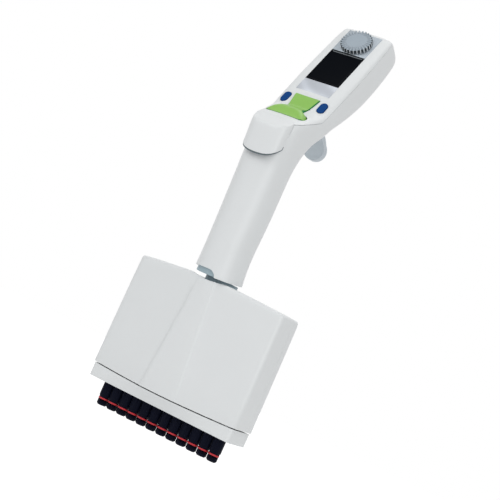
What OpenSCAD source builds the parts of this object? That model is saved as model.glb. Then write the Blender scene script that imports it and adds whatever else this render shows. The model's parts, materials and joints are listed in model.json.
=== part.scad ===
// Twelve-channel electronic pipette: a handle with display, dial and rocker, and a swivelling lower part
// that carries twelve pistons, twelve sprung tip cones and a tip ejector.
// Origin: on the swivel axis, in the row of cones, level with the cone ends. +Z up, front towards -Y.

/* [Channels] */
// Number of channels in the row
channels = 12; // [2:1:12]
// Distance from one channel to the next
pitch = 9; // [8.6:0.1:9]
// Volume that one piston moves in a full stroke, in microlitres
volume_ul = 1200; // [600:50:1250]
// Stroke of the pistons
stroke = 25; // [18:0.5:26]

/* [Tip cones] */
// Outer diameter of a tip cone
cone_d = 7.7; // [6:0.1:8]
// How far the cones stand out below the skirt
cone_reach = 17.3; // [15:0.1:20]
// Height of the sealing ring above the cone end
ring_z = 5; // [3.5:0.1:8]
// Thickness of the sealing ring
ring_t = 1.5; // [1:0.1:2]
// How far the sealing ring stands proud of the cone
ring_proud = 0.3; // [0.1:0.05:0.4]
// Air bore through a cone
cone_bore = 2.4; // [1.5:0.1:3.5]
// Length of the lead-in chamfer at the cone end
cone_lead = 1; // [0.3:0.1:2]
// Spring travel of one cone
cone_travel = 2; // [0.5:0.1:2.2]
// Diameter of the guide stem above a cone
cone_stem_d = 4.4; // [3:0.1:5]

/* [Lower housing] */
// Room from the outermost channel to the side of the housing
end_room = 13.9; // [12.5:0.1:18]
// How much narrower each side is at the top
housing_taper = 0.8; // [0:0.1:3]
// Front of the housing at its sides, from the cone row
housing_front = 14; // [13.5:0.1:17]
// Back of the housing, from the cone row
housing_back = 14.8; // [14:0.1:18]
// How far the centre panel stands out from the sides
panel_bulge = 6.6; // [2:0.1:10]
// Half width of the centre panel at the top
panel_top = 6.5; // [4:0.1:12]
// Half width of the centre panel at the lower edge
panel_bottom = 15; // [8:0.1:20]
// Step at the two creases beside the centre panel
panel_step = 0.4; // [0:0.05:0.8]
// Radius of the upright corners
housing_corner = 4.5; // [4:0.1:9]
// Rounding of the top edge
housing_edge = 2.4; // [1:0.1:3.5]
// Height of the housing's lower edge at its ends
housing_z0 = 27.8; // [27:0.1:30]
// How far the lower edge hangs down in the middle
housing_sag = 1.5; // [0:0.1:2.5]
// Height of the housing's top at its ends
housing_z1 = 110.4; // [110:0.1:114]
// Rise of the arched top in the middle
housing_arch = 3.3; // [1:0.1:5]
// Wall of the housing
housing_wall = 2; // [1.5:0.1:2.4]
// Where front and rear covers part, behind the cone row
parting_y = 5; // [3:0.1:8]

/* [Ejector] */
// Travel of the tip ejector
eject_travel = 8; // [4:0.5:8]
// Gap between skirt and housing
skirt_gap = 0.8; // [0.5:0.1:1.5]
// Wall of the skirt
skirt_wall = 1.8; // [1.2:0.1:2.2]
// Thickness of the stripper plate in the skirt
stripper_t = 2.4; // [1.5:0.1:3.5]
// Diameter of a push rod
push_rod_d = 4; // [2.5:0.1:4.4]
// Distance of a push rod from the middle
push_rod_x = 40; // [30:0.5:48]
// Width of the ejector key
key_w = 31; // [26:0.2:32]
// Height of the ejector key at its front
key_h = 20.6; // [16:0.2:22]
// How far the ejector key stands out from the handle
key_depth = 6.2; // [4:0.1:8]
// Sweep of the key's lower edge, in degrees
key_sweep = 43; // [20:1:60]
// Radius of the arc of the key's lower edge
key_arc = 80; // [30:1:120]

/* [Swivel] */
// Diameter of the collar between handle and housing
collar_d = 24; // [20:0.2:26]
// Diameter of the neck that turns in the handle
neck_d = 14.6; // [14:0.1:15.4]
// Length of neck inside the handle
neck_reach = 17.5; // [12:0.5:20]
// Diameter of the dished recess round the collar
dish_d = 44; // [36:0.5:48]

/* [Stem] */
// Height of the stem's lower edge at its front
stem_z0 = 114.4; // [114:0.1:117]
// Rise of that edge from front to back
stem_rise = 3.6; // [0:0.1:5]
// Half width of the stem
stem_half_w = 17; // [16:0.1:18.5]
// Front of the stem, from the swivel axis
stem_front = 25.8; // [24:0.1:27]
// Back of the stem, from the swivel axis
stem_back = 11; // [10.8:0.1:13]
// Wall of stem and head
shell_wall = 1.8; // [1.2:0.1:2]

/* [Head] */
// Lean of the operating face from upright, in degrees
lean = 31.5; // [25:0.5:36]
// Height at which the face plane passes its lower end
face_z = 237.3; // [236:0.1:240]
// Distance of that point from the swivel axis, backwards
face_y = -9.2; // [-10:0.1:-8]
// Length of the face from there to the top end
face_len = 103; // [101:0.5:106]
// Half width of the head at its widest
head_half_w = 22.8; // [22.4:0.1:26]
// Depth of the head behind the face
head_depth = 35.6; // [33:0.2:38]
// Depth of the face cover below the face
cover_depth = 4; // [3.5:0.1:5]

/* [Controls] */
// Width of the display window
display_w = 28; // [24:0.5:29]
// Length of the display window
display_h = 35.5; // [30:0.5:35.5]
// Lower edge of the display window, as a share of the length of the face
display_share = 0.4125; // [0.4:0.0025:0.44]
// Length of the band below the display
band_h = 12; // [8:0.5:12.5]
// Thickness of window, band and panel
trim_t = 1.2; // [0.8:0.1:1.4]
// Diameter of the menu dial
dial_d = 23.6; // [18:0.2:24]
// Height of the menu dial above the panel
dial_h = 3.6; // [3:0.1:7]
// Place of the dial, as a share of the length of the face
dial_share = 0.868; // [0.864:0.002:0.88]
// Number of flutes round the dial
dial_flutes = 28; // [16:1:32]
// Travel of a soft key
key_travel = 0.8; // [0.3:0.1:1]
// Distance of a soft key from the middle
soft_key_x = 15.4; // [15:0.1:17]
// Place of the soft keys on the face
soft_key_s = 19.8; // [18:0.1:22]
// Tilt of the rocker either way, in degrees
rocker_tilt = 2.5; // [1:0.5:3]

/* [Finger hook] */
// Width of the finger hook
hook_w = 18; // [16:0.5:24]
// Half width of the hook where it leaves the head
hook_root = 5.5; // [4:0.1:8]
// Thickness of the finger hook
hook_t = 5; // [3.5:0.1:6]
// Radius of the hook's inner face, where the finger lies
hook_r = 20.5; // [18:0.5:24]

/* [Hidden] */
$fn = 48;

// Running clearance round sliding and turning pieces, and the wider gap between moving shells
slip = 0.05;
gap = 0.3;
// Small step that keeps cutting faces apart
eps = 0.01;

channel_x = [for (i = [0:channels - 1]) (i - (channels - 1) / 2) * pitch];
row_w = (channels - 1) * pitch;
housing_w = row_w + 2 * end_room;
display_s = face_len * display_share;
dial_s = face_len * dial_share;
piston_r = sqrt(volume_ul / stroke / PI);

// Heights of the stack in the lower part, upwards from the cone ends
skirt_z0 = cone_reach;
shoulder_z = 23.5;
guide_z = 29;
guide_t = 2;
block_z = 35;
seal_h = 3;
floor_t = 1.5;
block_top = block_z + floor_t + stroke + 0.5 + seal_h;
carrier_z = block_top + stroke + 0.5;
carrier_t = 5;
frame_t = 3;
frame_z = housing_z1 - housing_wall - 0.8 - frame_t;
carrier_half_y = 6;
push_rod_y = 8.8;
screw_r = 3;
sleeve_r = 5.4;
neck_bore_r = sleeve_r + slip;
neck_top = stem_z0 + neck_reach;
sleeve_top = neck_top + eject_travel + 0.5;

// ---------- small helpers ----------

// A point of the face frame, s along the face and h out of it, as [y, z] of the part
function face_point(s, h) = [face_y + s * sin(lean) - h * cos(lean), face_z + s * cos(lean) + h * sin(lean)];

// Puts children, drawn with the face as the plane y = 0 and s along +Z, onto the head
module on_face() {
    translate([0, face_y, face_z]) rotate([-lean, 0, 0]) children();
}

// A bar from y0 to y1 with a rounded-rectangle outline in X and Z
module plate_y(w, h, r, y0, y1) {
    translate([0, y1, 0]) rotate([90, 0, 0]) linear_extrude(y1 - y0) round_rect(w, h, r);
}

// A rectangle with true arcs at its corners
module round_rect(w, h, r) {
    square([w - 2 * r, h], center = true);
    square([w, h - 2 * r], center = true);
    for (x = [-1, 1], y = [-1, 1]) translate([x * (w / 2 - r), y * (h / 2 - r)]) circle(r);
}

function signed_pow(v, p) = sign(v) * pow(abs(v), p);

// Catmull-Rom value at t = 0..1 between b and c
function blend(a, b, c, d, t) =
    0.5 * (2 * b + (c - a) * t + (2 * a - 5 * b + 4 * c - d) * t * t + (3 * b - a - 3 * c + d) * t * t * t);

// Rows of a station table, with extra rows blended in between
function smooth_rows(rows, steps) = let (last = len(rows) - 1) [
    for (i = [0:last - 1], k = [0:steps - 1])
        blend(rows[max(i - 1, 0)], rows[i], rows[i + 1], rows[min(i + 2, last)], k / steps),
    rows[last]
];

// One ring of the handle: a superellipse between a front point and a back point
function ring(row, sides) = let (f = [row[0], row[1]], b = [row[2], row[3]], m = row[7], c = f + m * (b - f)) [
    for (i = [0:sides - 1])
        let (a = 360 * i / sides, front = sin(a) < 0, n = front ? row[5] : row[6], v = signed_pow(sin(a), 2 / n))
        let (p = front ? c + (f - c) * -v : c + (b - c) * v)
        [row[4] * signed_pow(cos(a), 2 / n), p[0], p[1]]
];

// Closed loft through equally divided rings
module loft(rings) {
    n = len(rings[0]);
    last = len(rings) - 1;
    polyhedron(
        points = [for (r = rings) each r],
        faces = concat(
            [[for (i = [0:n - 1]) i]],
            [for (k = [0:last - 1], i = [0:n - 1]) each [
                [k * n + i, (k + 1) * n + i, (k + 1) * n + (i + 1) % n],
                [k * n + i, (k + 1) * n + (i + 1) % n, k * n + (i + 1) % n]]],
            [[for (i = [n - 1:-1:0]) last * n + i]]));
}

// ---------- handle ----------

// Front y and z, back y and z, half width, squareness of front and of back, and where it is widest
head_rows = [
    concat(face_point(14, 0), face_point(23, -head_depth + 9.2), [head_half_w + 0.1, 3.6, 2.6, 0.34]),
    concat(face_point(30, 0), face_point(40, -head_depth + 3.6), [head_half_w + 0.1, 4.6, 2.8, 0.28]),
    concat(face_point(55, 0), face_point(62, -head_depth + 0.2), [head_half_w, 5, 3.2, 0.23]),
    concat(face_point(80, 0), face_point(84, -head_depth + 0.4), [head_half_w - 0.5, 5, 3.4, 0.22]),
    concat(face_point(face_len - 6, 0), face_point(face_len - 2, -head_depth + 2.6), [head_half_w - 1.2, 5, 3.6, 0.24]),
    concat(face_point(face_len + 0.6, -0.2), face_point(face_len + 5.4, -head_depth + 4), [head_half_w - 1.8, 4.6, 3.4, 0.26]),
    concat(face_point(face_len + 1.8, -1.6), face_point(face_len + 6.6, -head_depth + 6.2), [head_half_w - 3, 4.2, 3.2, 0.3]),
];
stem_rows = [
    [-stem_front + 0.4, stem_z0, stem_back, stem_z0 + stem_rise, stem_half_w + 0.2, 2.3, 2.2, 0.5],
    [-stem_front - 0.8, 135, stem_back - 1.8, 135, stem_half_w - 0.9, 2.3, 2.2, 0.5],
    [-stem_front - 1.2, 165, stem_back - 1.2, 165, stem_half_w, 2.3, 2.2, 0.5],
    [-stem_front - 2.1, 195, stem_back - 1.8, 195, stem_half_w + 0.2, 2.5, 2.2, 0.5],
    [-stem_front - 1.6, 210, stem_back - 1.2, 208, stem_half_w + 0.7, 3, 2.2, 0.5],
    [-stem_front - 1.1, 221, stem_back + 1.4, 218, stem_half_w + 1.7, 3.6, 2.2, 0.48],
    [-stem_front - 0.7, 231.5, stem_back + 5.3, 226, stem_half_w + 3, 4, 2.3, 0.45],
    [-18, 238, stem_back + 8.6, 231, stem_half_w + 3.9, 4, 2.3, 0.43],
    [-9, 244, stem_back + 11.6, 236, stem_half_w + 4.8, 3.8, 2.4, 0.4],
];
handle_rows = concat(stem_rows, head_rows);

function inset_row(row, t) = let (f = [row[0], row[1]], b = [row[2], row[3]], d = (b - f) / norm(b - f))
    concat(f + t * d, b - t * d, [row[4] - t, row[5], row[6], row[7]]);

// Outside of stem and head together, ejector key left off
module handle_form() {
    loft([for (r = smooth_rows(handle_rows, 2)) ring(r, 32)]);
}

// Hollow inside of stem and head, t further in than the wall
module handle_inside(t) {
    rows = [for (i = [0:len(handle_rows) - 2]) inset_row(handle_rows[i], shell_wall + t)];
    first = [for (j = [0:7]) rows[0][j] - (j == 1 || j == 3 ? 1 : 0)];
    loft([for (r = concat([first], rows)) ring(r, 24)]);
}

// Height of the stem's slanting lower edge at a distance y
function edge_z(y) = stem_z0 + stem_rise * (y + stem_front) / (stem_front + stem_back);

// A slab of the stem's inside, for pieces that fit its wall
module stem_slab(z0, z1) {
    intersection() {
        handle_inside(slip);
        translate([-30, -40, z0]) cube([60, 80, z1 - z0]);
    }
}

// The seam between handle body and face cover, and the flat wall behind the ejector key
seam_corner = [-stem_front - 0.7, 230.5];
seam_knee = face_point(9, -cover_depth);
key_wall_y = -stem_front + 1.4;
key_z1 = 227.5;
key_z0 = key_z1 - key_h - 2.5;
pocket_z = key_z1 - 17;
tab_w = 6;
tab_z = key_z1 - 11.5;
tab_t = 5;
rod_y = -16;
rod_r = 2.3;
arm_t = 4;
motor_z = sleeve_top + arm_t + 4;
motor_h = 39;
motor_r = 7.4;
bracket_t = 3;
spring_z = motor_z + motor_h + bracket_t;

// Everything in front of the seam
module cover_side() {
    rotate([90, 0, 90]) translate([0, 0, -40]) linear_extrude(80) polygon([
        seam_corner + [-20, 0], seam_corner, seam_knee,
        face_point(face_len + 20, -cover_depth), face_point(face_len + 20, 25), [-50, 300]]);
}

// Everything in front of the flat wall behind the ejector key
module key_side() {
    translate([-40, -80 + key_wall_y, pocket_z]) cube([80, 80, 80]);
}

battery_w = 29;
battery_s = display_s + 3.5;
battery_len = dial_s + 2.5 - battery_s;

module battery_opening(t) {
    on_face() translate([-battery_w / 2 + t, 15, battery_s + t])
        cube([battery_w - 2 * t, 40, battery_len - 2 * t]);
}

module handle_body() color("whitesmoke") difference() {
    handle_form();
    cover_side();
    key_side();
    difference() {
        handle_inside(0);
        translate([-40, -80 + key_wall_y + shell_wall, pocket_z - shell_wall]) cube([80, 80, seam_corner[1] - pocket_z]);
    }
    // slot for the tab of the ejector key
    translate([-tab_w / 2 - gap, key_wall_y - 6, tab_z - eject_travel - gap])
        cube([tab_w + 2 * gap, shell_wall + 7, tab_t + eject_travel + 2 * gap]);
    // scallop in the lower edge that shows the swivel bush
    translate([0, -6, scallop_z]) rotate([90, 0, 0]) linear_extrude(40) {
        translate([1.5, -5.5]) circle(r = 5.5);
        translate([-30, -10]) square([31.5, 10]);
    }
    // room for the snap lip of the neck
    translate([0, 0, bush_top]) cylinder(d = neck_d + 2 * neck_lip + 2 * gap, h = neck_top + gap - bush_top);
    battery_opening(0);
}

module battery_door() color("whitesmoke") intersection() {
    difference() {
        handle_form();
        handle_inside(0);
    }
    battery_opening(0.2);
}

// A hook that is one arc round the finger, its free end rounded
hook_y = 23;
hook_z = 222.5;
module finger_hook() color("lightsteelblue") difference() {
    intersection() {
        translate([0, hook_y, hook_z]) rotate([0, 90, 0]) rotate(88) rotate_extrude(angle = 96)
            translate([hook_r, -hook_w / 2]) square([hook_t, hook_w]);
        translate([0, 80, hook_z + hook_w / 2 + 1.2]) rotate([90, 0, 0]) linear_extrude(80) {
            circle(d = hook_w);
            polygon([[-hook_w / 2, 0], [hook_w / 2, 0], [hook_root, 12.5], [hook_root, 40], [-hook_root, 40], [-hook_root, 12.5]]);
        }
    }
    handle_form();
}

// ---------- operating face ----------

trim_s0 = display_s - band_h;
trim_s1 = face_len - 1;

// Hourglass outline of the rocker in the face, x across and s up, grown by c
rocker_s0 = -4.4;
rocker_s1 = 25;
lobe_x = 15.5;
lobe_r = 3.2;
waist_x = 7.6;
waist_s = 9.2;
waist_r = 6;
module rocker_outline(c) {
    polygon([[-10 - c, rocker_s1 + c], [10 + c, rocker_s1 + c], [waist_x + c, waist_s + 1], [-waist_x - c, waist_s + 1]]);
    difference() {
        translate([-lobe_x + lobe_r - 0.4, -1]) square([2 * lobe_x - 2 * lobe_r + 0.8, waist_s + 2.1]);
        for (x = [-1, 1]) translate([x * (waist_x + waist_r), waist_s]) circle(waist_r - c);
    }
    for (x = [-1, 1], s = [0, rocker_s0 + lobe_r]) translate([x * (lobe_x - lobe_r), s]) circle(lobe_r + c);
    translate([-lobe_x - c, rocker_s0 + lobe_r]) square([2 * lobe_x + 2 * c, -rocker_s0 - lobe_r]);
    translate([-lobe_x + lobe_r, rocker_s0 - c]) square([2 * lobe_x - 2 * lobe_r, 4 + c]);
}

module face_cover() color("white") difference() {
    union() {
        difference() {
            intersection() {
                handle_form();
                cover_side();
            }
            handle_inside(0);
        }
        // cheeks that hold the rocker pin
        on_face() for (x = [-1, 1]) translate([x * 10.4 - 1.4, 1.2, pin_s - 2.5]) cube([2.8, 4.2, 5]);
    }
    key_side();
    on_face() {
        // recess for panel, window and band, with the display's opening
        translate([-display_w / 2, -5, trim_s0]) cube([display_w, 5 + trim_t, trim_s1 - trim_s0]);
        translate([-display_w / 2 + 1.5, 0, display_s + 1.5]) cube([display_w - 3, 6, display_h - 3]);
        translate([0, 6, dial_s]) rotate([90, 0, 0]) cylinder(r = axle_r + gap, h = 12);
        rotate([90, 0, 0]) linear_extrude(40, center = true) rocker_outline(rocker_gap);
        for (x = [-1, 1]) soft_key_place(x) {
            translate([0, 0, -6]) linear_extrude(12) key_oval(gap);
            translate([0, 0, -9]) linear_extrude(9 - 3.1) key_oval(key_flange + gap);
        }
        translate([-20, pin_y, pin_s]) rotate([0, 90, 0]) cylinder(r = pin_r, h = 40);
    }
}

pin_r = 1;
pin_s = 13;
pin_y = 3.2;
rocker_gap = 0.6;
axle_r = 2;

module display_window() color("black") on_face()
    translate([-display_w / 2, 0, display_s]) cube([display_w, trim_t, display_h]);

module lower_trim() color("silver") on_face()
    translate([-display_w / 2, 0, trim_s0]) cube([display_w, trim_t, band_h]);

module upper_trim() color("silver") on_face() difference() {
    translate([-display_w / 2, 0, display_s + display_h]) cube([display_w, trim_t, trim_s1 - display_s - display_h]);
    translate([0, 6, dial_s]) rotate([90, 0, 0]) cylinder(r = axle_r + gap, h = 12);
}

// Fluted knob with a dished top and its axle
module menu_dial() color("silver") on_face() translate([0, -0.4, dial_s]) rotate([90, 0, 0]) {
    difference() {
        rotate_extrude() polygon([
            [0, 0], [dial_d / 2, 0], [dial_d / 2, dial_h - 1.2], [dial_d / 2 - 1.2, dial_h],
            [dial_d / 2 - 4.4, dial_h], [dial_d / 2 - 5.4, dial_h - 0.5], [0, dial_h - 0.5]]);
        for (i = [0:dial_flutes - 1]) rotate(i * 360 / dial_flutes)
            translate([dial_d / 2 + 0.35, 0, 0.8]) cylinder(r = dial_d * 0.04, h = dial_h);
    }
    translate([0, 0, -5.2]) cylinder(r = axle_r, h = 5.2 + 0.5);
}

encoder_w = 12;
module dial_encoder() color("dimgray") on_face() difference() {
    translate([-encoder_w / 2, 2.6, dial_s - encoder_w / 2]) cube([encoder_w, board_y - 2.6, encoder_w]);
    translate([0, 6, dial_s]) rotate([90, 0, 0]) cylinder(r = axle_r + slip, h = 6);
}

// Stadium outline of a soft key, 10 long and 5.5 wide, grown by c
module key_oval(c) {
    square([5.5 + 2 * c, 4.5], center = true);
    for (y = [-1, 1]) translate([0, y * 2.25]) circle(2.75 + c);
}

module soft_key_place(side) translate([side * soft_key_x, 0, soft_key_s]) rotate([90, 0, 0]) children();
key_flange = 0.9;

module soft_key(side) on_face() soft_key_place(side) {
    translate([0, 0, -3.4]) linear_extrude(3.3) key_oval(0);
    translate([0, 0, -3.9]) linear_extrude(0.5) key_oval(key_flange);
    translate([0, 0, -4.2]) cylinder(r = 1.2, h = 0.8);
}

module left_key() color("navy") soft_key(-1);
module right_key() color("navy") soft_key(1);

// Rocker: a shallow dish above, a thumb bump below, and the lug for its pin
module pipetting_rocker() color("yellowgreen") on_face() difference() {
    union() {
        intersection() {
            rotate([90, 0, 0]) linear_extrude(40, center = true) rocker_outline(0);
            translate([-30, 0, 0]) rotate([90, 0, 90]) linear_extrude(60) polygon(concat(
                [[2.2, rocker_s1 + 1], [2.2, rocker_s0 - 1]],
                [for (q = smooth_rows(rocker_profile, 2)) [-q[1], q[0]]]));
        }
        translate([-6, 2, pin_s - 2.2]) cube([12, 3.2, 4.4]);
        for (s = [4, 21.5]) translate([0, 4.4, s]) rotate([90, 0, 0]) cylinder(r = 1.5, h = 3);
    }
    translate([-20, pin_y, pin_s]) rotate([0, 90, 0]) cylinder(r = pin_r + slip, h = 40);
}

// Place along the face and height above it of the rocker's top, from its lower end
rocker_profile = [[rocker_s0 - 0.1, 7.4], [-3.4, 8.3], [0, 8.45], [3, 7.8], [6, 6.4], [9, 4.4], [12, 2.1], [15, 0.9], [19, 0.5], [22, 0.6], [rocker_s1 + 0.1, 0.9]];

module rocker_pin() color("silver") on_face()
    translate([-11.6, pin_y, pin_s]) rotate([0, 90, 0]) cylinder(r = pin_r, h = 23.2);

board_y = 7.6;
board_w = 36;
board_t = 1.6;
board_inset = 3;
module main_board() color("darkgreen") on_face()
    translate([-board_w / 2, board_y, board_inset]) cube([board_w, board_t, face_len - 7 - board_inset]);

module tact_switches() color("dimgray") on_face() {
    for (x = [-1, 1]) translate([x * soft_key_x - 2, 5.1, soft_key_s - 3]) cube([4, board_y - 5.1, 6]);
    for (s = [4, 21.5]) translate([-3, 4.8 + gap, s - 3]) cube([6, board_y - 4.8 - gap, 6]);
}

// The display module ends its clearance below the encoder
display_w_in = display_w + 3;
display_t = 3;
encoder_gap = 3.4165;
module display_module() color("slategray") on_face()
    translate([-display_w_in / 2, 2.1, display_s - 1])
        cube([display_w_in, display_t, dial_s - encoder_w / 2 - encoder_gap - display_s + 1]);

battery_t = 9;
module battery_pack() color("royalblue") on_face()
    translate([-battery_w / 2 - 1, board_y + board_t, battery_s + 1]) cube([battery_w + 2, battery_t, battery_len - 2]);

// ---------- stem ----------

// Nose that shrouds the stem: curved lower edge, hollow behind, with the tab that pushes the rod
module ejector_key() color("whitesmoke") difference() {
    union() {
        difference() {
            intersection() {
                loft([for (r = smooth_rows(key_rows, 2)) ring(r, 32)]);
                translate([0, key_front + 0.6, key_z0]) rotate([90 + key_sweep, 0, 0]) linear_extrude(150, center = true)
                    polygon(concat([for (x = [-24:3:24]) [x, key_arc - sqrt(key_arc * key_arc - x * x)]], [[24, 90], [-24, 90]]));
            }
            translate([-40, key_wall_y - 0.1, 100]) cube([80, 80, 200]);
            translate([-key_w / 2 + 2.2, key_wall_y - key_depth + 2, 100]) cube([key_w - 4.4, 30, key_z1 - 4 - 100]);
        }
        translate([-tab_w / 2, key_wall_y - key_depth + 2, tab_z]) cube([tab_w, rod_y - rod_r - key_wall_y + key_depth - 2 + 1, tab_t]);
    }
    translate([0, rod_y, 0]) cylinder(r = rod_r, h = 300);
}
key_front = key_wall_y - key_depth - 2.2;
key_rows = [
    [key_front + 0.8, key_z0 - 3.4, -14, key_z0 - 3.4, key_w / 2 - 0.6, 3.4, 3, 0.6],
    [key_front + 0.2, key_z0 + 8.6, -14, key_z0 + 11.6, key_w / 2 - 0.2, 3.4, 3, 0.6],
    [key_front - 0.4, key_z1 - 5.5, -14, key_z1 + 5.5, key_w / 2 + 0.3, 3.4, 3, 0.6],
    [key_front - 0.2, key_z1 - 1.9, -14, key_z1 + 12.7, key_w / 2 + 0.2, 3.4, 3, 0.6],
    [key_front + 1, key_z1 - 0.5, -14, key_z1 + 14.4, key_w / 2 - 0.9, 3.4, 3, 0.6],
];

// Rod inside the stem with the ring that pushes the sleeve of the lower part
module ejector_rod() color("gray") difference() {
    union() {
        translate([0, rod_y, sleeve_top]) cylinder(r = rod_r, h = tab_z + tab_t - sleeve_top);
        translate([-2.5, rod_y, sleeve_top]) cube([5, -rod_y, arm_t]);
        translate([0, 0, sleeve_top]) cylinder(r = sleeve_r, h = arm_t);
    }
    translate([0, 0, sleeve_top - 1]) cylinder(r = screw_r + gap, h = arm_t + 2);
}

module ejector_spring() color("silver") translate([0, rod_y, spring_z]) difference() {
    cylinder(r = rod_r + 1.3, h = tab_z - spring_z);
    translate([0, 0, -1]) cylinder(r = rod_r + gap, h = tab_z - spring_z + 2);
}

module drive_motor() color("dimgray") difference() {
    translate([0, 0, motor_z]) cylinder(r = motor_r, h = motor_h);
    translate([0, 0, motor_z - 1]) cylinder(r = screw_r + slip, h = motor_h + 2);
}

module motor_bracket() color("silver") difference() {
    stem_slab(motor_z + motor_h, spring_z);
    translate([0, 0, motor_z]) cylinder(r = screw_r + gap, h = motor_h + 10);
    translate([0, rod_y, motor_z]) cylinder(r = rod_r + slip, h = motor_h + 10);
}

screw_top = spring_z + 8;
module drive_screw() color("silver") translate([0, 0, carrier_z + carrier_t])
    cylinder(r = screw_r, h = screw_top - carrier_z - carrier_t);

bush_top = neck_top - 1.6;
scallop_z = stem_z0 + 4.6;
neck_lip = 0.6;
module swivel_bush() color("slategray") difference() {
    intersection() {
        handle_inside(slip);
        rotate([90, 0, 90]) translate([0, 0, -30]) linear_extrude(60)
            polygon([[-40, edge_z(-40) + gap], [40, edge_z(40) + gap], [40, bush_top], [-40, bush_top]]);
    }
    translate([0, 0, 100]) cylinder(d = neck_d + 2 * slip, h = 50);
}

// ---------- lower part ----------

boss_z = frame_z + frame_t + 0.7;
dish_z = housing_z1 + 0.8;

// Collar and neck, with a snap lip above the bush
module coupling_neck() color("slategray") difference() {
    union() {
        translate([0, 0, boss_z]) cylinder(d = collar_d - 4, h = dish_z - boss_z);
        translate([0, 0, dish_z]) cylinder(d = collar_d, h = edge_z(-collar_d / 2) - dish_z);
        translate([0, 0, dish_z]) cylinder(d = neck_d, h = neck_top - dish_z);
        translate([0, 0, bush_top + 0.2]) cylinder(d1 = neck_d + 2 * neck_lip, d2 = neck_d - 0.4, h = neck_top - bush_top - 0.2);
    }
    translate([0, 0, boss_z - 1]) cylinder(r = neck_bore_r, h = neck_top);
}

// Half width, and the depth of front and back, of the housing at a share f of its height, d further in
function hw(f, d) = housing_w / 2 - housing_taper * f - d;
crease_w = 1.4;
function crease(f) = panel_bottom + (panel_top - panel_bottom) * f;

// Stations across the housing, from the middle to the side
function half_stations(f, d) = let (w = hw(f, d), r = max(housing_corner - d, 1), c = crease(f), m = w - r) concat(
    [0, c], [c + crease_w], [for (k = [1:3]) c + (m - c) * k / 3], [for (a = [30, 60, 90]) m + r * sin(a)]);
function front_y(x, f, d) = let (w = hw(f, d), r = max(housing_corner - d, 1), c = crease(f), m = w - r)
    x <= c ? -housing_front - panel_bulge + d + 0.5 * pow(x / c, 2)
    : x <= m ? -housing_front - panel_bulge + d + 0.5 + panel_step * min((x - c) / crease_w, 1)
        + (panel_bulge - 0.5 - panel_step) * (x - c) / (m - c)
    : -housing_front + d + r - sqrt(max(r * r - (x - m) * (x - m), 0));
function back_y(x, f, d) = let (w = hw(f, d), r = max(housing_corner - d, 1), m = w - r)
    x <= m ? housing_back - d : housing_back - d - r + sqrt(max(r * r - (x - m) * (x - m), 0));
function low_z(x) = housing_z0 - housing_sag * (1 - pow(2 * x / housing_w, 2));
function top_z(x) = housing_z1 + housing_arch * (1 - pow(2 * x / housing_w, 2));

// A ring of the housing: front from left to right, then back from right to left
function housing_ring(f, d, at_top, drop) = let (h = half_stations(f, d), n = len(h) - 1)
    let (xs = concat([for (i = [n:-1:1]) -h[i]], h), z = [for (x = xs) at_top ? top_z(x) - drop : low_z(x) - drop])
    concat(
        [for (i = [0:2 * n]) [xs[i], front_y(abs(xs[i]), f, d), z[i]]],
        [for (i = [2 * n:-1:0]) [xs[i], back_y(abs(xs[i]), f, d), z[i]]]);

// Closed loft through such rings, its ends closed by strips from front to back
module strip_loft(rings) {
    n = len(rings[0]);
    last = len(rings) - 1;
    half = n / 2;
    polyhedron(
        points = [for (r = rings) each r],
        faces = concat(
            [for (i = [0:half - 2]) each [[i, i + 1, n - 1 - i], [i + 1, n - 2 - i, n - 1 - i]]],
            [for (k = [0:last - 1], i = [0:n - 1]) each [
                [k * n + i, (k + 1) * n + i, (k + 1) * n + (i + 1) % n],
                [k * n + i, (k + 1) * n + (i + 1) % n, k * n + (i + 1) % n]]],
            [for (i = [0:half - 2]) each [
                [last * n + i, last * n + n - 1 - i, last * n + i + 1],
                [last * n + i + 1, last * n + n - 1 - i, last * n + n - 2 - i]]]));
}

module housing_shell() {
    e = housing_edge;
    difference() {
        union() {
            difference() {
                strip_loft(concat([housing_ring(0, 0, false, 0)],
                    [for (a = [0, 30, 60, 90]) housing_ring(1, e * (1 - cos(a)), true, e * (1 - sin(a)))]));
                strip_loft([housing_ring(0, housing_wall, false, 5), housing_ring(1, housing_wall, true, housing_wall)]);
            }
            intersection() {
                strip_loft([housing_ring(0, housing_wall - eps, false, 0), housing_ring(1, housing_wall - eps, true, housing_wall - 1)]);
                union() {
                    // boss under the top that carries the neck
                    translate([0, 0, boss_z]) cylinder(d = dish_d + 3, h = 12);
                    // bosses for the housing screws
                    screw_places() rotate([90, 0, 0]) cylinder(r = 2.6, h = 60, center = true);
                }
            }
        }
        translate([0, 0, dish_z]) cylinder(d1 = dish_d - 4, d2 = dish_d + 8, h = 7.5);
        translate([0, 0, boss_z - 1]) cylinder(d = collar_d - 4, h = 10);
        screw_places() rotate([90, 0, 0]) translate([0, 0, -housing_back - 1]) cylinder(r = 1.2, h = housing_back + 9);
        screw_places() rotate([90, 0, 0]) translate([0, 0, -housing_back - 1]) cylinder(r = 2, h = 3);
    }
}
module screw_places() for (x = [-1, 1]) translate([x * (push_rod_x + 10), 0, carrier_z + carrier_t + 4.5]) children();

module front_housing() color("whitesmoke") difference() {
    housing_shell();
    translate([-100, parting_y, 0]) cube([200, 100, 200]);
}

module rear_housing() color("whitesmoke") difference() {
    housing_shell();
    translate([-100, parting_y - 100, 0]) cube([200, 100, 200]);
}

module housing_screws() color("silver") screw_places() rotate([90, 0, 0]) {
    translate([0, 0, -housing_back + 0.4]) cylinder(r = 2, h = 1.6);
    translate([0, 0, -housing_back + 0.4]) cylinder(r = 1.2, h = housing_back + 6);
}

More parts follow.
